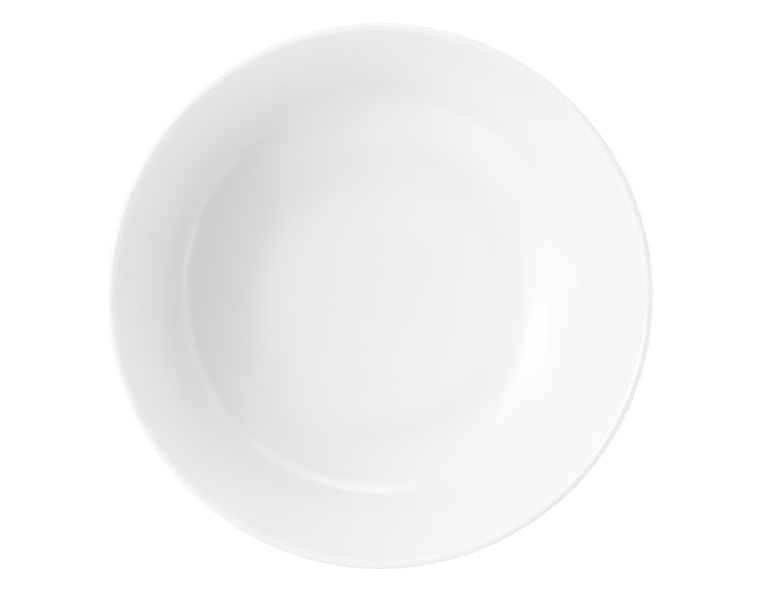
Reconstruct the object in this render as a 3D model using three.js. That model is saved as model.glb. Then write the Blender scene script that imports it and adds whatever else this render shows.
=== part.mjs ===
// A coupe bowl in glazed porcelain. It stands on the table at z = 0, with its axis on +Z.
// The body is one revolved shell: a level floor, a well that sweeps up, a soft well edge, a straight
// wall, a full-round lip and a bare foot ring. Two coats of glaze lie on it, parted by the bare foot:
// one over the inside, the lip and the outside, the other under the floor, inside the foot ring.
import * as THREE from "three";

// Driving dimensions, in millimetres. Thicknesses and the foot are those of the fired body.
const RIM_DIAMETER = 200; // over the glazed lip
const BOWL_HEIGHT = 60; // table to the top of the glazed lip
const LIP_THICKNESS = 3;
const WALL_THICKNESS = 4; // at the well edge
const FLOOR_THICKNESS = 4.8;
const FLOOR_DIAMETER = 72; // the level part of the floor
const WELL_DIAMETER = 150; // where the well's sweep reaches the well edge
const WELL_SLOPE = THREE.MathUtils.degToRad(37.5); // of the sweep where it reaches the well edge
const WELL_TURN = 0.64; // share of the sweep's width at which the floor's line meets that slope's line
const WELL_EDGE_RADIUS = 5; // rounds the sweep into the wall
const FOOT_DIAMETER = 106; // over the standing face
const FOOT_WIDTH = 3.2; // of the standing face, corners included
const FOOT_RECESS = 4; // table to the underside of the floor
const FOOT_DRAFT = THREE.MathUtils.degToRad(14); // of the foot's sides from upright
const FOOT_FILLET = 1.8; // where the foot's sides run into the bowl
const FOOT_ROUNDING = 0.5; // of the standing face's two corners
const GLAZE_THICKNESS = 0.25;
const GLAZE_SEAT = 0.02; // clearance between the body and its coats
const GLAZE_LINE = 1.2; // height of the bare foot above the table

// Facets: steps round the axis, the most that an arc turns between two points, and steps per curve.
const STEPS_ROUND = 60;
const ARC_STEP = THREE.MathUtils.degToRad(8);
const LIP_STEP = THREE.MathUtils.degToRad(22.5);
const SWEEP_STEPS = 6;
const CORNER_STEPS = 3;

const UP = Math.PI / 2;
const coating = GLAZE_SEAT + GLAZE_THICKNESS;
const bodyRadius = RIM_DIAMETER / 2 - coating;
const bodyTop = BOWL_HEIGHT - coating;
const floorTop = FOOT_RECESS + FLOOR_THICKNESS;
const floorRadius = FLOOR_DIAMETER / 2;
const wellRadius = WELL_DIAMETER / 2;
const footRadius = FOOT_DIAMETER / 2;

// Points of a circular arc between two angles about its centre, both ends included.
function arc(centre, radius, from, to, step) {
  const curve = new THREE.EllipseCurve(centre.x, centre.y, radius, radius, from, to, to < from);
  return curve.getPoints(Math.max(1, Math.ceil(Math.abs(to - from) / step)));
}

// Points of a rounded corner, from one side of it to the other.
function corner(from, tip, to, steps = CORNER_STEPS) {
  return new THREE.QuadraticBezierCurve(from, tip, to).getPoints(steps);
}

// The point a distance out from a centre, along an angle.
function polar(centre, angle, distance) {
  return new THREE.Vector2(Math.cos(angle), Math.sin(angle)).multiplyScalar(distance).add(centre);
}

// Stretches of an outline joined into one, with the points that two stretches share kept once.
function join(...stretches) {
  const isNew = (point, i, all) => i === 0 || point.distanceTo(all[i - 1]) > 1e-6;
  return stretches.flat().filter(isNew);
}

// An outline moved to its left by a distance, which may vary from point to point.
function offset(outline, distanceAt) {
  return outline.map((point, i) => {
    const before = outline[Math.max(i - 1, 0)];
    const after = outline[Math.min(i + 1, outline.length - 1)];
    const arriving = i > 0 ? point.clone().sub(before).normalize() : new THREE.Vector2();
    const leaving = i < outline.length - 1 ? after.clone().sub(point).normalize() : new THREE.Vector2();
    const along = arriving.clone().add(leaving).normalize();
    const side = arriving.length() > 0 ? arriving : leaving;
    const mitre = distanceAt(point) / along.dot(side);
    return new THREE.Vector2(point.x - along.y * mitre, point.y + along.x * mitre);
  });
}

// Height of an outline at a distance from the axis, where the outline runs inwards.
function heightAt(outline, x) {
  const i = outline.findIndex((point) => point.x <= x);
  const [outer, inner] = [outline[i - 1], outline[i]];
  return THREE.MathUtils.mapLinear(x, outer.x, inner.x, outer.y, inner.y);
}

// The well: a sweep that leaves the level floor and steepens to WELL_SLOPE at the well edge.
const floorEnd = new THREE.Vector2(floorRadius, floorTop);
const turn = new THREE.Vector2(THREE.MathUtils.lerp(floorRadius, wellRadius, WELL_TURN), floorTop);
const sweepEnd = new THREE.Vector2(wellRadius, floorTop + (wellRadius - turn.x) * Math.tan(WELL_SLOPE));
const edgeCentre = polar(sweepEnd, WELL_SLOPE + UP, WELL_EDGE_RADIUS);
const lipRadius = LIP_THICKNESS / 2;
const lipCentre = new THREE.Vector2(bodyRadius - lipRadius, bodyTop - lipRadius);

// Slope of the straight wall that touches both the well edge's rounding and the lip's.
function wallSlope() {
  const span = lipCentre.clone().sub(edgeCentre);
  return span.angle() + Math.asin((WELL_EDGE_RADIUS + lipRadius) / span.length());
}

const slope = wallSlope();
const inside = join(
  [new THREE.Vector2(0, floorTop)],
  corner(floorEnd, turn, sweepEnd, SWEEP_STEPS),
  arc(edgeCentre, WELL_EDGE_RADIUS, WELL_SLOPE - UP, slope - UP, ARC_STEP),
  [polar(lipCentre, slope + UP, lipRadius)],
);
const lip = arc(lipCentre, lipRadius, slope + UP, slope - UP, LIP_STEP);

// The wall thins from the floor to the well edge, and again from there to the lip.
function thicknessAt(point) {
  const { clamp, mapLinear } = THREE.MathUtils;
  if (point.x < wellRadius) {
    const x = Math.max(point.x, floorRadius);
    return mapLinear(x, floorRadius, wellRadius, FLOOR_THICKNESS, WALL_THICKNESS);
  }
  const x = clamp(point.x, wellRadius, inside.at(-1).x);
  return mapLinear(x, wellRadius, inside.at(-1).x, WALL_THICKNESS, LIP_THICKNESS);
}

const outside = offset(inside, (point) => -thicknessAt(point)).reverse();

// The foot ring's sides lean by FOOT_DRAFT. Each meets the bowl at a root and the table at a corner.
const lean = Math.tan(FOOT_DRAFT);
const outerRootX = footRadius + FOOT_RECESS * lean;
const outerRoot = new THREE.Vector2(outerRootX, heightAt(outside, outerRootX));
const innerRoot = new THREE.Vector2(footRadius - FOOT_WIDTH - FOOT_RECESS * lean, FOOT_RECESS);
const outerCorner = new THREE.Vector2(footRadius, 0);
const innerCorner = new THREE.Vector2(footRadius - FOOT_WIDTH, 0);
const filletX = outerRootX + FOOT_FILLET;
const filletStart = new THREE.Vector2(filletX, heightAt(outside, filletX));

// The point on one of the foot's sides at a height above the table.
function onSide(footCorner, root, height) {
  return footCorner.clone().lerp(root, height / root.y);
}

// The point a distance along the line from one point towards another.
function towards(from, to, distance) {
  return from.clone().add(to.clone().sub(from).setLength(distance));
}

// The body's outline in three stretches: under the large coat, bare, and under the small coat.
const underCoat = join(
  inside,
  lip,
  outside.filter((point) => point.x > filletX),
  corner(filletStart, outerRoot, towards(outerRoot, outerCorner, FOOT_FILLET)),
  [onSide(outerCorner, outerRoot, GLAZE_LINE)],
);
const bare = join(
  corner(
    towards(outerCorner, outerRoot, FOOT_ROUNDING),
    outerCorner,
    towards(outerCorner, innerCorner, FOOT_ROUNDING),
  ),
  corner(
    towards(innerCorner, outerCorner, FOOT_ROUNDING),
    innerCorner,
    towards(innerCorner, innerRoot, FOOT_ROUNDING),
  ),
);
const axisUnder = new THREE.Vector2(0, FOOT_RECESS);
const underSmallCoat = join(
  [onSide(innerCorner, innerRoot, GLAZE_LINE)],
  corner(towards(innerRoot, innerCorner, FOOT_FILLET), innerRoot, towards(innerRoot, axisUnder, FOOT_FILLET)),
  [axisUnder],
);

// A solid of revolution about +Z, from an outline that starts and ends on the axis with air on its left.
function revolve(name, outline, material) {
  const geometry = new THREE.LatheGeometry([...outline].reverse(), STEPS_ROUND).rotateX(UP);
  const mesh = new THREE.Mesh(geometry, material);
  mesh.name = name;
  return mesh;
}

// The outline of a coat of glaze on a stretch of the body that starts or ends on the axis.
function coat(stretch) {
  const face = offset(stretch, () => coating);
  const back = offset(stretch, () => GLAZE_SEAT).reverse();
  return stretch[0].x === 0 ? join(face, back) : join(back, face);
}

const biscuit = new THREE.MeshStandardMaterial({ color: 0xe8e5de, roughness: 0.7, metalness: 0 });
const glaze = new THREE.MeshStandardMaterial({ color: 0xf2f2f0, roughness: 0.08, metalness: 0 });

const bowl = new THREE.Group();
bowl.add(
  revolve("porcelain_body", join(underCoat, bare, underSmallCoat), biscuit),
  revolve("glaze_coat", coat(underCoat), glaze),
  revolve("foot_well_glaze", coat(underSmallCoat), glaze),
);

export default bowl;
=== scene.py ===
"""Coupe bowl in glazed porcelain, seen from straight above on a white table in a soft studio."""

from __future__ import annotations

import logging
import math
from collections.abc import Callable, Mapping, Sequence
from dataclasses import dataclass, field
from enum import Enum

import bpy
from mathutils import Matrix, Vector

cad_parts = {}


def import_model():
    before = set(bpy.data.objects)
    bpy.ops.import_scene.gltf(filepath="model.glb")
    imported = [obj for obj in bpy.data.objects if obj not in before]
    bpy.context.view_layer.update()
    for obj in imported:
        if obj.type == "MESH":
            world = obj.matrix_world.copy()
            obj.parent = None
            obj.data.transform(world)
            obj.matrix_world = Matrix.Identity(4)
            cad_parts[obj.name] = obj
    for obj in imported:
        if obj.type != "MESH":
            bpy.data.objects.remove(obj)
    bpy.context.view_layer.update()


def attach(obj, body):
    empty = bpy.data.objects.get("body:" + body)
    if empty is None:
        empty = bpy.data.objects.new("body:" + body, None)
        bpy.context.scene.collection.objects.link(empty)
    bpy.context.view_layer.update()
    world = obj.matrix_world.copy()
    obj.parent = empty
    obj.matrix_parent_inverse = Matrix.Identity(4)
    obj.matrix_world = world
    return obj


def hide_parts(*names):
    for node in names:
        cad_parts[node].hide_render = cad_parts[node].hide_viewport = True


LOG = logging.getLogger("coupe_bowl")
MM = 0.001
PHOTO_WIDTH_PX = 760

Outline = list[Vector]
SocketValue = bpy.types.NodeSocket | float | int | bool | Sequence[float] | bpy.types.Material


def linear_rgba(hex_colour: str) -> tuple[float, float, float, float]:
    """Turn an sRGB hex colour into linear RGBA.

    Args:
        hex_colour: Six hex digits after a "#".

    Returns:
        The linear colour with an alpha of 1.
    """
    channels = [int(hex_colour[i : i + 2], 16) / 255 for i in (1, 3, 5)]
    linear = [c / 12.92 if c <= 0.04045 else ((c + 0.055) / 1.055) ** 2.4 for c in channels]
    return (linear[0], linear[1], linear[2], 1.0)


def add_node(
    tree: bpy.types.NodeTree,
    kind: str,
    inputs: Mapping[str | int, SocketValue] | None = None,
    **settings: object,
) -> bpy.types.Node:
    """Add a node with its settings, and fill or link its inputs.

    Args:
        tree: The node tree that gets the node.
        kind: Blender's name for the kind of node.
        inputs: Input name or index to a value, or to the output socket that feeds it.
        **settings: Properties of the node itself.

    Returns:
        The new node.
    """
    node = tree.nodes.new(kind)
    for name, value in settings.items():
        setattr(node, name, value)
    for key, value in (inputs or {}).items():
        if isinstance(value, bpy.types.NodeSocket):
            tree.links.new(value, node.inputs[key])
        else:
            node.inputs[key].default_value = value
    return node


class Skin(Enum):
    """The bowl's three pieces, each with the CAD node it stands for."""

    FIRED_BODY = "porcelain_body"
    GLAZE_COAT = "glaze_coat"
    FOOT_WELL = "foot_well_glaze"


@dataclass(frozen=True)
class OutlineTools:
    """Plane geometry of outlines (distance out, height) that keep the air on their left."""

    same_point: float = 1e-3

    def polar(self, centre: Vector, angle: float, distance: float) -> Vector:
        """Return the point a distance out from a centre along an angle."""
        return centre + distance * Vector((math.cos(angle), math.sin(angle)))

    def arc(
        self, centre: Vector, radius: float, start: float, end: float, step_deg: float
    ) -> Outline:
        """Trace a circular arc, both ends included.

        Args:
            centre: The arc's centre.
            radius: The arc's radius.
            start: Angle of the first point about the centre.
            end: Angle of the last point.
            step_deg: The most that the arc turns between two points, in degrees.

        Returns:
            The arc's points.
        """
        steps = max(1, math.ceil(abs(end - start) / math.radians(step_deg)))
        angles = [start + (end - start) * i / steps for i in range(steps + 1)]
        return [self.polar(centre, angle, radius) for angle in angles]

    def straight(self, start: Vector, end: Vector, spacing: float) -> Outline:
        """Trace a straight run in equal steps no longer than the spacing, both ends included."""
        steps = max(1, math.ceil((end - start).length / spacing))
        return [start.lerp(end, i / steps) for i in range(steps + 1)]

    def corner(self, start: Vector, tip: Vector, end: Vector, steps: int = 8) -> Outline:
        """Round the corner at a tip with a parabola, from one side of it to the other."""
        turns = [i / steps for i in range(steps + 1)]
        return [start.lerp(tip, t).lerp(tip.lerp(end, t), t) for t in turns]

    def towards(self, start: Vector, end: Vector, distance: float) -> Vector:
        """Return the point a distance along the way from one point to another."""
        return start + (end - start).normalized() * distance

    def join(self, *stretches: Outline) -> Outline:
        """Join stretches into one outline that keeps shared points once."""
        joined: Outline = []
        for point in (p for stretch in stretches for p in stretch):
            if not joined or (point - joined[-1]).length > self.same_point:
                joined.append(point)
        return joined

    def offset(self, outline: Outline, distance_at: Callable[[Vector], float]) -> Outline:
        """Move an outline to its left.

        Args:
            outline: The outline to move.
            distance_at: Gives the distance for each of its points.

        Returns:
            The moved outline, point for point.
        """
        moved: Outline = []
        for i, point in enumerate(outline):
            first = max(i - 1, 0)
            pairs = zip(outline[first : i + 1], outline[first + 1 : i + 2])
            sides = [(b - a).normalized() for a, b in pairs]
            along = sum(sides, Vector((0.0, 0.0))).normalized()
            reach = distance_at(point) / along.dot(sides[0])
            moved.append(point + reach * Vector((-along.y, along.x)))
        return moved

    def height_at(self, outline: Outline, x: float) -> float:
        """Return an inward-running outline's height at a distance from the axis."""
        outer, inner = next((a, b) for a, b in zip(outline, outline[1:]) if b.x <= x < a.x)
        return inner.y + (outer.y - inner.y) * (x - inner.x) / (outer.x - inner.x)


@dataclass(frozen=True)
class BowlProfile:
    """The CAD part's section in millimetres and degrees, with a softer edge to the well."""

    rim_diameter: float = 200.0
    height: float = 60.0
    lip_thickness: float = 3.0
    wall_thickness: float = 4.0
    floor_thickness: float = 4.8
    floor_diameter: float = 72.0
    well_diameter: float = 150.0
    well_slope: float = 37.5
    well_turn: float = 0.64
    well_edge_radius: float = 20.0
    foot_diameter: float = 106.0
    foot_width: float = 3.2
    foot_recess: float = 4.0
    foot_draft: float = 14.0
    foot_fillet: float = 1.8
    foot_rounding: float = 0.5
    glaze_thickness: float = 0.25
    glaze_seat: float = 0.02
    glaze_line: float = 1.2
    sweep_steps: int = 48
    arc_step: float = 1.0
    lip_step: float = 6.0
    rolled_step: float = 22.5
    wall_spacing: float = 1.5
    level_spacing: float = 7.5
    flank_spacing: float = 0.2
    bare_spacing: float = 0.3
    tools: OutlineTools = field(default_factory=OutlineTools)

    @property
    def coating(self) -> float:
        """How far the glaze's face stands off the body."""
        return self.glaze_seat + self.glaze_thickness

    def inside_and_lip(self) -> tuple[Outline, Outline]:
        """Trace the body's inside and its lip.

        Returns:
            The inside from the axis to the lip, and the lip over to the outside.
        """
        tools, up, edge_radius = self.tools, math.pi / 2, self.well_edge_radius
        floor_end = Vector((self.floor_diameter / 2, self.foot_recess + self.floor_thickness))
        sweep_width = self.well_diameter / 2 - floor_end.x
        turn = floor_end + Vector((sweep_width * self.well_turn, 0.0))
        well_slope = math.radians(self.well_slope)
        rise = (1 - self.well_turn) * sweep_width * math.tan(well_slope)
        sweep_end = floor_end + Vector((sweep_width, rise))
        edge_centre = tools.polar(sweep_end, well_slope + up, edge_radius)
        lip_radius = self.lip_thickness / 2
        lip_reach = self.coating + lip_radius
        lip_centre = Vector((self.rim_diameter / 2 - lip_reach, self.height - lip_reach))
        # The wall is the straight line that touches both the edge of the well and the lip.
        span = lip_centre - edge_centre
        lean = math.asin((edge_radius + lip_radius) / span.length)
        slope = math.atan2(span.y, span.x) + lean
        edge = tools.arc(edge_centre, edge_radius, well_slope - up, slope - up, self.arc_step)
        wall_end = tools.polar(lip_centre, slope + up, lip_radius)
        inside = tools.join(
            tools.straight(Vector((0.0, floor_end.y)), floor_end, self.level_spacing),
            tools.corner(floor_end, turn, sweep_end, self.sweep_steps),
            edge,
            tools.straight(edge[-1], wall_end, self.wall_spacing),
        )
        return inside, tools.arc(lip_centre, lip_radius, slope + up, slope - up, self.lip_step)

    def outside(self, inside: Outline) -> Outline:
        """Trace the body's outside, from the lip down and in to the axis.

        Args:
            inside: The body's inside, which the thickness is measured from.

        Returns:
            The outside, as if there were no foot.
        """
        stations = (self.floor_diameter / 2, self.well_diameter / 2, inside[-1].x)
        depths = (self.floor_thickness, self.wall_thickness, self.lip_thickness)

        def thickness(point: Vector) -> float:
            """Thin the shell from the floor to the well edge, and again from there to the lip."""
            k = 0 if point.x < stations[1] else 1
            share = (point.x - stations[k]) / (stations[k + 1] - stations[k])
            return -(depths[k] + (depths[k + 1] - depths[k]) * min(max(share, 0.0), 1.0))

        return self.tools.offset(inside, thickness)[::-1]

    def stretches(self) -> tuple[Outline, Outline, Outline]:
        """Trace the body's outline in its three stretches.

        Returns:
            The stretch under the large coat, the bare foot, and the stretch under the small coat.
        """
        tools, fillet, rounding = self.tools, self.foot_fillet, self.foot_rounding
        inside, lip = self.inside_and_lip()
        outside = self.outside(inside)
        lean = self.foot_recess * math.tan(math.radians(self.foot_draft))
        outer_corner = Vector((self.foot_diameter / 2, 0.0))
        inner_corner = outer_corner - Vector((self.foot_width, 0.0))
        root_x = outer_corner.x + lean
        outer_root = Vector((root_x, tools.height_at(outside, root_x)))
        inner_root = Vector((inner_corner.x - lean, self.foot_recess))
        turn_in = outer_root.x + fillet
        fillet_start = Vector((turn_in, tools.height_at(outside, turn_in)))
        middle = Vector((0.0, self.foot_recess))
        outer_line = outer_corner.lerp(outer_root, self.glaze_line / outer_root.y)
        inner_line = inner_corner.lerp(inner_root, self.glaze_line / inner_root.y)
        outer_fillet = tools.corner(
            fillet_start, outer_root, tools.towards(outer_root, outer_corner, fillet)
        )
        inner_fillet = tools.corner(
            tools.towards(inner_root, inner_corner, fillet),
            inner_root,
            tools.towards(inner_root, middle, fillet),
        )
        outer_round = tools.corner(
            tools.towards(outer_corner, outer_root, rounding),
            outer_corner,
            tools.towards(outer_corner, inner_corner, rounding),
        )
        inner_round = tools.corner(
            tools.towards(inner_corner, outer_corner, rounding),
            inner_corner,
            tools.towards(inner_corner, inner_root, rounding),
        )
        under_coat = tools.join(
            inside,
            lip,
            [p for p in outside if p.x > turn_in],
            outer_fillet,
            tools.straight(outer_fillet[-1], outer_line, self.flank_spacing),
        )
        bare = tools.join(
            tools.straight(outer_line, outer_round[0], self.bare_spacing)[1:],
            outer_round,
            inner_round,
        )
        under_small_coat = tools.join(
            tools.straight(inner_line, inner_fillet[0], self.flank_spacing),
            inner_fillet,
            tools.straight(inner_fillet[-1], middle, self.level_spacing),
        )
        return under_coat, bare, under_small_coat

    def coat(self, stretch: Outline) -> Outline:
        """Trace a coat of glaze that ends in a rolled edge at the glaze line.

        Args:
            stretch: The stretch of the body under it, which starts or ends on the axis.

        Returns:
            The coat's outline, from the axis round to the axis.
        """
        face = self.tools.offset(stretch, lambda _: self.coating)
        back = self.tools.offset(stretch, lambda _: self.glaze_seat)[::-1]
        if stretch[0].x == 0:
            return self.tools.join(face, self.rolled_edge(face[-1], back[0]), back)
        return self.tools.join(back, self.rolled_edge(back[-1], face[0]), face)

    def rolled_edge(self, start: Vector, end: Vector) -> Outline:
        """Round a coat's edge over half a circle, on the right of the way from start to end."""
        across = (end - start) / 2
        first = math.atan2(-across.y, -across.x)
        return self.tools.arc(
            start + across, across.length, first, first - math.pi, self.rolled_step
        )

    def outline(self, skin: Skin) -> Outline:
        """Trace the closed outline of one of the bowl's pieces.

        Args:
            skin: The piece.

        Returns:
            Its outline in millimetres, from the axis round to the axis.
        """
        under_coat, bare, under_small_coat = self.stretches()
        if skin is Skin.GLAZE_COAT:
            return self.coat(under_coat)
        if skin is Skin.FOOT_WELL:
            return self.coat(under_small_coat)
        return self.tools.join(under_coat, bare, under_small_coat)


@dataclass(frozen=True)
class GlazedPorcelain:
    """Clear glaze over white porcelain: an even white under a glassy, faintly uneven gloss."""

    name: str = "glazed_porcelain"
    white: str = "#EFEFEF"
    thin_white: str = "#EBEBEB"
    pooling_mm: float = 38.0
    pooling_detail: float = 2.0
    waviness_mm: float = 14.0
    waviness_height_mm: float = 0.012
    waviness_detail: float = 1.0
    roughness: float = 0.07
    uneven_gloss: float = 0.2
    bounce_roughness: float = 0.7
    ior: float = 1.5

    def build(self) -> bpy.types.Material:
        """Build the material.

        Returns:
            A material that reads Object coordinates.
        """
        material = bpy.data.materials.new(self.name)
        material.use_nodes = True
        tree = material.node_tree
        shader = tree.nodes["Principled BSDF"]
        shader.inputs["IOR"].default_value = self.ior
        place = add_node(tree, "ShaderNodeTexCoord").outputs["Object"]
        # The glaze pools over a few centimetres, which shifts the white by a hair.
        pooling_scale = 1 / (self.pooling_mm * MM)
        pooling = add_node(
            tree,
            "ShaderNodeTexNoise",
            {"Vector": place, "Scale": pooling_scale, "Detail": self.pooling_detail},
        ).outputs["Fac"]
        thin, thick = linear_rgba(self.thin_white), linear_rgba(self.white)
        tint = add_node(
            tree, "ShaderNodeMix", {"Factor": pooling, "A": thin, "B": thick}, data_type="RGBA"
        )
        tree.links.new(tint.outputs["Result"], shader.inputs["Base Color"])
        # Its gloss is not quite even: the melt leaves patches that are slightly less smooth.
        least = self.roughness * (1 - self.uneven_gloss)
        most = self.roughness * (1 + self.uneven_gloss)
        gloss = add_node(
            tree, "ShaderNodeMapRange", {"Value": pooling, "To Min": least, "To Max": most}
        ).outputs["Result"]
        # Light that bounces about in the bowl meets the glaze as a rough face, which keeps it all.
        bounce = add_node(tree, "ShaderNodeLightPath").outputs["Is Diffuse Ray"]
        spread = add_node(
            tree, "ShaderNodeMath", {0: bounce, 1: self.bounce_roughness}, operation="MULTIPLY"
        ).outputs[0]
        met = add_node(tree, "ShaderNodeMath", {0: gloss, 1: spread}, operation="MAXIMUM")
        tree.links.new(met.outputs[0], shader.inputs["Roughness"])
        # The surface keeps a slow waviness from the melt, so reflections have soft, living edges.
        waves_scale = 1 / (self.waviness_mm * MM)
        waves = add_node(
            tree,
            "ShaderNodeTexNoise",
            {"Vector": place, "Scale": waves_scale, "Detail": self.waviness_detail},
        ).outputs["Fac"]
        bump = add_node(
            tree, "ShaderNodeBump", {"Height": waves, "Distance": self.waviness_height_mm * MM}
        )
        tree.links.new(bump.outputs["Normal"], shader.inputs["Normal"])
        return material


@dataclass(frozen=True)
class BiscuitPorcelain:
    """Unglazed fired porcelain, ground level on the foot: a warm matte white with a fine grit."""

    name: str = "biscuit_porcelain"
    white: str = "#E6E2DA"
    scuffed: str = "#CFCAC1"
    scuff_mm: float = 6.0
    scuff_detail: float = 5.0
    scuff_start: float = 0.55
    scuff_full: float = 0.8
    grit_mm: float = 0.5
    grit_detail: float = 3.0
    grit_height_mm: float = 0.03
    roughness: float = 0.72

    def build(self) -> bpy.types.Material:
        """Build the material.

        Returns:
            A material that reads Object coordinates.
        """
        material = bpy.data.materials.new(self.name)
        material.use_nodes = True
        tree = material.node_tree
        shader = tree.nodes["Principled BSDF"]
        shader.inputs["Roughness"].default_value = self.roughness
        place = add_node(tree, "ShaderNodeTexCoord").outputs["Object"]
        # Shelves and tables leave faint grey scuffs on the bare ring.
        scuffs = add_node(
            tree,
            "ShaderNodeTexNoise",
            {"Vector": place, "Scale": 1 / (self.scuff_mm * MM), "Detail": self.scuff_detail},
        ).outputs["Fac"]
        share = add_node(
            tree,
            "ShaderNodeMapRange",
            {"Value": scuffs, "From Min": self.scuff_start, "From Max": self.scuff_full},
        ).outputs["Result"]
        clean, worn = linear_rgba(self.white), linear_rgba(self.scuffed)
        tint = add_node(
            tree, "ShaderNodeMix", {"Factor": share, "A": clean, "B": worn}, data_type="RGBA"
        )
        tree.links.new(tint.outputs["Result"], shader.inputs["Base Color"])
        # Without glass over it, the clay keeps a dry grit.
        grit = add_node(
            tree,
            "ShaderNodeTexNoise",
            {"Vector": place, "Scale": 1 / (self.grit_mm * MM), "Detail": self.grit_detail},
        ).outputs["Fac"]
        bump = add_node(
            tree, "ShaderNodeBump", {"Height": grit, "Distance": self.grit_height_mm * MM}
        )
        tree.links.new(bump.outputs["Normal"], shader.inputs["Normal"])
        return material


@dataclass(frozen=True)
class WhiteLaminate:
    """White laminate of a studio table: plain and matte, it shows white and keeps a shadow."""

    name: str = "white_laminate"
    white: str = "#E6E6E6"
    seen_white: str = "#949494"
    seen_glow: float = 0.78

    def build(self) -> bpy.types.Material:
        """Build the material.

        Returns:
            A material that is matte to the bowl, and glows a little where it is seen.
        """
        material = bpy.data.materials.new(self.name)
        material.use_nodes = True
        tree = material.node_tree
        tree.nodes.remove(tree.nodes["Principled BSDF"])
        path = add_node(tree, "ShaderNodeLightPath").outputs
        seen = add_node(
            tree,
            "ShaderNodeMath",
            {0: path["Is Camera Ray"], 1: path["Is Glossy Ray"]},
            operation="MAXIMUM",
        ).outputs[0]
        seen = add_node(
            tree, "ShaderNodeMath", {0: seen, 1: path["Is Transmission Ray"]}, operation="MAXIMUM"
        ).outputs[0]
        lit = add_node(
            tree, "ShaderNodeBsdfDiffuse", {"Color": linear_rgba(self.white)}
        ).outputs[0]
        shadow = add_node(
            tree, "ShaderNodeBsdfDiffuse", {"Color": linear_rgba(self.seen_white)}
        ).outputs[0]
        glow = add_node(tree, "ShaderNodeEmission", {"Strength": self.seen_glow}).outputs[0]
        white = add_node(tree, "ShaderNodeAddShader", {0: shadow, 1: glow}).outputs[0]
        mixed = add_node(tree, "ShaderNodeMixShader", {0: seen, 1: lit, 2: white}).outputs[0]
        tree.links.new(mixed, tree.nodes["Material Output"].inputs["Surface"])
        return material


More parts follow.
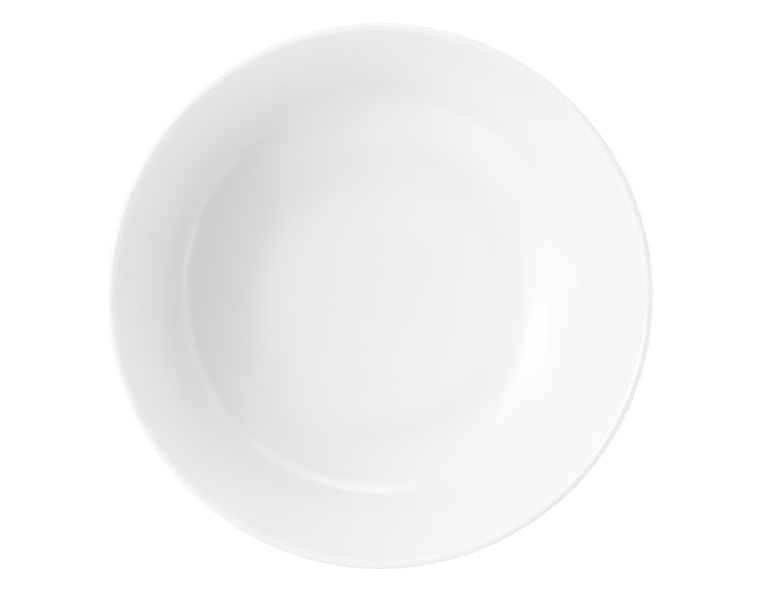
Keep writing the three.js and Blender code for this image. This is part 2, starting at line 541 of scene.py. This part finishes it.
@dataclass
class PotterWheel:
    """Turns an outline about +Z with a Geometry Nodes tree, as the forming machine turns clay."""

    steps_round: int = 192
    weld_mm: float = 0.001
    crease_deg: float = 50.0

    def tree(self) -> bpy.types.NodeTree:
        """Build the tree that turns a line of points in the XZ plane into a closed mesh.

        Returns:
            A tree with inputs for the outline, the steps round, the weld distance and the material.
        """
        tree = bpy.data.node_groups.new("turn_on_wheel", "GeometryNodeTree")
        face = tree.interface
        face.new_socket("Outline", in_out="INPUT", socket_type="NodeSocketGeometry")
        face.new_socket("Steps Round", in_out="INPUT", socket_type="NodeSocketInt")
        face.new_socket("Weld", in_out="INPUT", socket_type="NodeSocketFloat")
        face.new_socket("Finish", in_out="INPUT", socket_type="NodeSocketMaterial")
        face.new_socket("Turned", in_out="OUTPUT", socket_type="NodeSocketGeometry")
        given = add_node(tree, "NodeGroupInput").outputs
        outline, steps = given["Outline"], given["Steps Round"]
        # A grid has a row for each point of the outline, and a column for each step round.
        points = add_node(
            tree, "GeometryNodeAttributeDomainSize", {"Geometry": outline}
        ).outputs["Point Count"]
        columns = add_node(
            tree, "ShaderNodeMath", {0: steps, 1: 1.0}, operation="ADD"
        ).outputs[0]
        grid = add_node(
            tree, "GeometryNodeMeshGrid", {"Vertices X": points, "Vertices Y": columns}
        ).outputs["Mesh"]
        # Half a step keeps the row clear of rounding.
        index = add_node(tree, "GeometryNodeInputIndex").outputs[0]
        middle = add_node(tree, "ShaderNodeMath", {0: index, 1: 0.5}, operation="ADD").outputs[0]
        rows = add_node(
            tree, "ShaderNodeMath", {0: middle, 1: columns}, operation="DIVIDE"
        ).outputs[0]
        row = add_node(tree, "ShaderNodeMath", {0: rows}, operation="FLOOR").outputs[0]
        before = add_node(
            tree, "ShaderNodeMath", {0: row, 1: columns}, operation="MULTIPLY"
        ).outputs[0]
        column = add_node(
            tree, "ShaderNodeMath", {0: index, 1: before}, operation="SUBTRACT"
        ).outputs[0]
        share = add_node(
            tree, "ShaderNodeMath", {0: column, 1: steps}, operation="DIVIDE"
        ).outputs[0]
        angle = add_node(
            tree, "ShaderNodeMath", {0: share, 1: math.tau}, operation="MULTIPLY"
        ).outputs[0]
        # Each grid point takes its outline point's place, turned by its column's angle.
        position = add_node(tree, "GeometryNodeInputPosition").outputs[0]
        sample = add_node(
            tree,
            "GeometryNodeSampleIndex",
            {"Geometry": outline, "Value": position, "Index": row},
            data_type="FLOAT_VECTOR",
            domain="POINT",
        ).outputs["Value"]
        turned = add_node(
            tree,
            "ShaderNodeVectorRotate",
            {"Vector": sample, "Axis": (0.0, 0.0, 1.0), "Angle": angle},
            rotation_type="AXIS_ANGLE",
        ).outputs["Vector"]
        placed = add_node(
            tree, "GeometryNodeSetPosition", {"Geometry": grid, "Position": turned}
        ).outputs["Geometry"]
        # The seam and the poles are welded shut.
        welded = add_node(
            tree, "GeometryNodeMergeByDistance", {"Geometry": placed, "Distance": given["Weld"]}
        ).outputs[0]
        smooth = add_node(tree, "GeometryNodeSetShadeSmooth", {"Geometry": welded}).outputs[0]
        real = add_node(tree, "GeometryNodeRealizeInstances", {"Geometry": smooth}).outputs[0]
        dressed = add_node(
            tree, "GeometryNodeSetMaterial", {"Geometry": real, "Material": given["Finish"]}
        ).outputs[0]
        add_node(tree, "NodeGroupOutput", {"Turned": dressed})
        return tree

    def turn(
        self, name: str, outline: Outline, tree: bpy.types.NodeTree, finish: bpy.types.Material
    ) -> bpy.types.Object:
        """Turn an outline into a plain mesh.

        Args:
            name: The piece's name.
            outline: Its outline in millimetres.
            tree: The tree made by this wheel.
            finish: Its material.

        Returns:
            The piece at the origin, with no modifier left.
        """
        points = [(p.x * MM, 0.0, p.y * MM) for p in outline]
        links = [(i, i + 1) for i in range(len(points) - 1)]
        line = bpy.data.meshes.new(name + "_outline")
        line.from_pydata(points, links, [])
        piece = bpy.data.objects.new(name, line)
        bpy.context.scene.collection.objects.link(piece)
        modifier = piece.modifiers.new("turn", "NODES")
        modifier.node_group = tree
        sockets = {s.name: s.identifier for s in tree.interface.items_tree if s.in_out == "INPUT"}
        modifier[sockets["Steps Round"]] = self.steps_round
        modifier[sockets["Weld"]] = self.weld_mm * MM
        modifier[sockets["Finish"]] = finish
        depsgraph = bpy.context.evaluated_depsgraph_get()
        turned = bpy.data.meshes.new_from_object(piece.evaluated_get(depsgraph))
        piece.modifiers.remove(modifier)
        piece.data = turned
        bpy.data.meshes.remove(line)
        turned.name = name
        turned.set_sharp_from_angle(angle=math.radians(self.crease_deg))
        return piece


@dataclass
class CoupeBowl:
    """The bowl: a fired body in two coats of glaze."""

    profile: BowlProfile = field(default_factory=BowlProfile)
    wheel: PotterWheel = field(default_factory=PotterWheel)
    glaze: GlazedPorcelain = field(default_factory=GlazedPorcelain)
    biscuit: BiscuitPorcelain = field(default_factory=BiscuitPorcelain)

    def build(self) -> None:
        """Turn each piece, dress it and let it stand for its CAD node."""
        tree = self.wheel.tree()
        glaze, biscuit = self.glaze.build(), self.biscuit.build()
        pieces = {
            Skin.FIRED_BODY: ("fired_body", biscuit, "porcelain"),
            Skin.GLAZE_COAT: ("glazed_skin", glaze, "glaze"),
            Skin.FOOT_WELL: ("foot_well_skin", glaze, "glaze"),
        }
        for skin, (name, finish, slot) in pieces.items():
            piece = self.wheel.turn(name, self.profile.outline(skin), tree, finish)
            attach(piece, "root")
            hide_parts(skin.value)
            LOG.info("%s: %d faces in %s", name, len(piece.data.polygons), finish.name)


@dataclass(frozen=True)
class LightPanel:
    """A flat panel of the studio far from the bowl: a softbox, a lit card or a dark flag.

    It is placed at an azimuth and elevation, and has a half width and half height, a soft edge
    and a roll, all in degrees as seen from the bowl.
    """

    name: str
    at: tuple[float, float]
    half_size: tuple[float, float]
    edge: float
    strength: float
    roll: float = 0.0

    def axes(self) -> tuple[Vector, Vector, Vector]:
        """Return the panel's direction from the bowl, its level axis and its upright axis."""
        turn, rise = (math.radians(angle) for angle in self.at)
        out = math.cos(rise)
        towards = Vector((math.cos(turn) * out, math.sin(turn) * out, math.sin(rise)))
        level = Vector((-math.sin(turn), math.cos(turn), 0.0))
        upright = towards.cross(level)
        lean = math.radians(self.roll)
        across = level * math.cos(lean) + upright * math.sin(lean)
        return towards, across, towards.cross(across)

    def add(self, tree: bpy.types.NodeTree, ray: bpy.types.NodeSocket) -> bpy.types.NodeSocket:
        """Add the panel's brightness along a ray to the world.

        Args:
            tree: The world's node tree.
            ray: The direction looked along.

        Returns:
            A socket that holds the strength on the panel and 0 off it.
        """
        towards, across, upright = self.axes()
        soft = math.tan(math.radians(self.edge)) / 2
        depth = add_node(
            tree, "ShaderNodeVectorMath", {0: ray, 1: towards}, operation="DOT_PRODUCT"
        ).outputs["Value"]
        cover = add_node(
            tree, "ShaderNodeMath", {0: depth, 1: 0.0}, operation="GREATER_THAN"
        ).outputs[0]
        for axis, half_deg in zip((across, upright), self.half_size):
            half = math.tan(math.radians(half_deg))
            side = add_node(
                tree, "ShaderNodeVectorMath", {0: ray, 1: axis}, operation="DOT_PRODUCT"
            ).outputs["Value"]
            ratio = add_node(
                tree, "ShaderNodeMath", {0: side, 1: depth}, operation="DIVIDE"
            ).outputs[0]
            reach = add_node(tree, "ShaderNodeMath", {0: ratio}, operation="ABSOLUTE").outputs[0]
            inside = add_node(
                tree,
                "ShaderNodeMapRange",
                {"Value": reach, "From Min": half + soft, "From Max": half - soft},
                interpolation_type="SMOOTHSTEP",
            ).outputs["Result"]
            cover = add_node(
                tree, "ShaderNodeMath", {0: cover, 1: inside}, operation="MULTIPLY"
            ).outputs[0]
        lit = {0: cover, 1: self.strength}
        return add_node(
            tree, "ShaderNodeMath", lit, operation="MULTIPLY", label=self.name
        ).outputs[0]


@dataclass
class Studio:
    """White table, soft surround with lit panels, and camera."""

    # The surround is brighter on the left and overhead than on the right.
    surround: float = 0.33
    surround_lean: tuple[float, float, float] = (-0.6, 0.1, 0.3)
    panels: tuple[LightPanel, ...] = (
        # The key light is a tilted softbox with a hot core, which the well mirrors as a crescent.
        LightPanel("softbox", at=(166, 47), half_size=(22, 15), edge=1.5, strength=0.6, roll=23),
        LightPanel("hot_core", at=(162, 53), half_size=(9.5, 9.5), edge=1.5, strength=1.2, roll=23),
        # Two narrow cards just over the rim draw the thin bright lines along the well's edge.
        LightPanel("strip_right", at=(10, 18), half_size=(29, 7.5), edge=1.5, strength=1.4),
        LightPanel("strip_back", at=(86, 20), half_size=(14, 8), edge=3, strength=0.6),
        # Low cards lift the walls across from them, and stay out of the mirror of the well.
        LightPanel("card_right", at=(-16, 4), half_size=(23, 11), edge=1.5, strength=3.9),
        LightPanel("card_left", at=(213, 12), half_size=(29, 3), edge=1, strength=1.0),
        LightPanel("card_back", at=(70, 13), half_size=(23, 14), edge=16, strength=1.3),
        # Broad, soft-edged fills even out the floor.
        LightPanel("fill_front", at=(267, 33), half_size=(34, 25), edge=30, strength=0.95),
        LightPanel("fill_back", at=(86, 42), half_size=(37, 25), edge=13, strength=0.54),
        LightPanel("overhead_back", at=(50, 80), half_size=(8, 16), edge=13, strength=1.15),
        LightPanel("overhead_front", at=(284, 66), half_size=(11, 17), edge=11, strength=0.7),
    )
    flags: tuple[LightPanel, ...] = (
        # A black flag on the right, and a soft one above it, give the well's left a dark hollow.
        LightPanel("flag_right", at=(4, 41), half_size=(27, 17), edge=1.5, strength=1.0, roll=-19),
        LightPanel("flag_high", at=(-9, 68), half_size=(17, 16), edge=15, strength=0.92),
    )
    laminate: WhiteLaminate = field(default_factory=WhiteLaminate)
    table_m: float = 12.0
    lens_mm: float = 100.0
    sensor_mm: float = 36.0
    rim_radius_px: float = 273.3
    eye_mm: tuple[float, float] = (0.04, 0.16)

    def light(self) -> None:
        """Light the bowl from the world: a leaning surround, flags that darken it, lit panels."""
        world = bpy.data.worlds.new("studio")
        bpy.context.scene.world = world
        world.use_nodes = True
        tree = world.node_tree
        ray = add_node(tree, "ShaderNodeTexCoord").outputs["Generated"]
        lean = add_node(
            tree, "ShaderNodeVectorMath", {0: ray, 1: self.surround_lean}, operation="DOT_PRODUCT"
        ).outputs["Value"]
        total = add_node(
            tree, "ShaderNodeMath", {0: lean, 1: self.surround}, operation="ADD"
        ).outputs[0]
        total = add_node(tree, "ShaderNodeMath", {0: total, 1: 0.0}, operation="MAXIMUM").outputs[0]
        for flag in self.flags:
            dark = flag.add(tree, ray)
            kept = add_node(
                tree, "ShaderNodeMath", {0: 1.0, 1: dark}, operation="SUBTRACT"
            ).outputs[0]
            total = add_node(
                tree, "ShaderNodeMath", {0: total, 1: kept}, operation="MULTIPLY"
            ).outputs[0]
        for panel in self.panels:
            lit = panel.add(tree, ray)
            total = add_node(
                tree, "ShaderNodeMath", {0: total, 1: lit}, operation="ADD"
            ).outputs[0]
        tree.links.new(total, tree.nodes["Background"].inputs["Strength"])
        tree.nodes["Background"].inputs["Color"].default_value = (1.0, 1.0, 1.0, 1.0)

    def table(self) -> None:
        """Lay a white table that shows white to the eye and keeps the bowl's shadow."""
        half = self.table_m / 2
        corners = [(-half, -half, 0.0), (half, -half, 0.0), (half, half, 0.0), (-half, half, 0.0)]
        mesh = bpy.data.meshes.new("table")
        mesh.from_pydata(corners, [], [(0, 1, 2, 3)])
        table = bpy.data.objects.new("table", mesh)
        bpy.context.scene.collection.objects.link(table)
        mesh.materials.append(self.laminate.build())

    def camera(self, profile: BowlProfile) -> None:
        """Hang the camera over the bowl, square to the table.

        Args:
            profile: The bowl, whose rim fills the photograph's width as measured.
        """
        frame_mm = profile.rim_diameter * PHOTO_WIDTH_PX / (2 * self.rim_radius_px)
        rim_mm = profile.height - profile.lip_thickness / 2 - profile.coating
        camera = bpy.data.cameras.new("camera")
        camera.lens = self.lens_mm
        camera.sensor_width = self.sensor_mm
        camera.sensor_fit = "HORIZONTAL"
        eye = bpy.data.objects.new("camera", camera)
        height_mm = rim_mm + frame_mm * self.lens_mm / self.sensor_mm
        eye.location = Vector((*self.eye_mm, height_mm)) * MM
        bpy.context.scene.collection.objects.link(eye)
        bpy.context.scene.camera = eye
        bpy.context.scene.view_settings.view_transform = "Standard"


def main() -> None:
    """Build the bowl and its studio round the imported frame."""
    logging.basicConfig(level=logging.INFO, format="%(name)s: %(message)s")
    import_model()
    bowl = CoupeBowl()
    bowl.build()
    studio = Studio()
    studio.light()
    studio.table()
    studio.camera(bowl.profile)


if __name__ == "__main__":
    main()
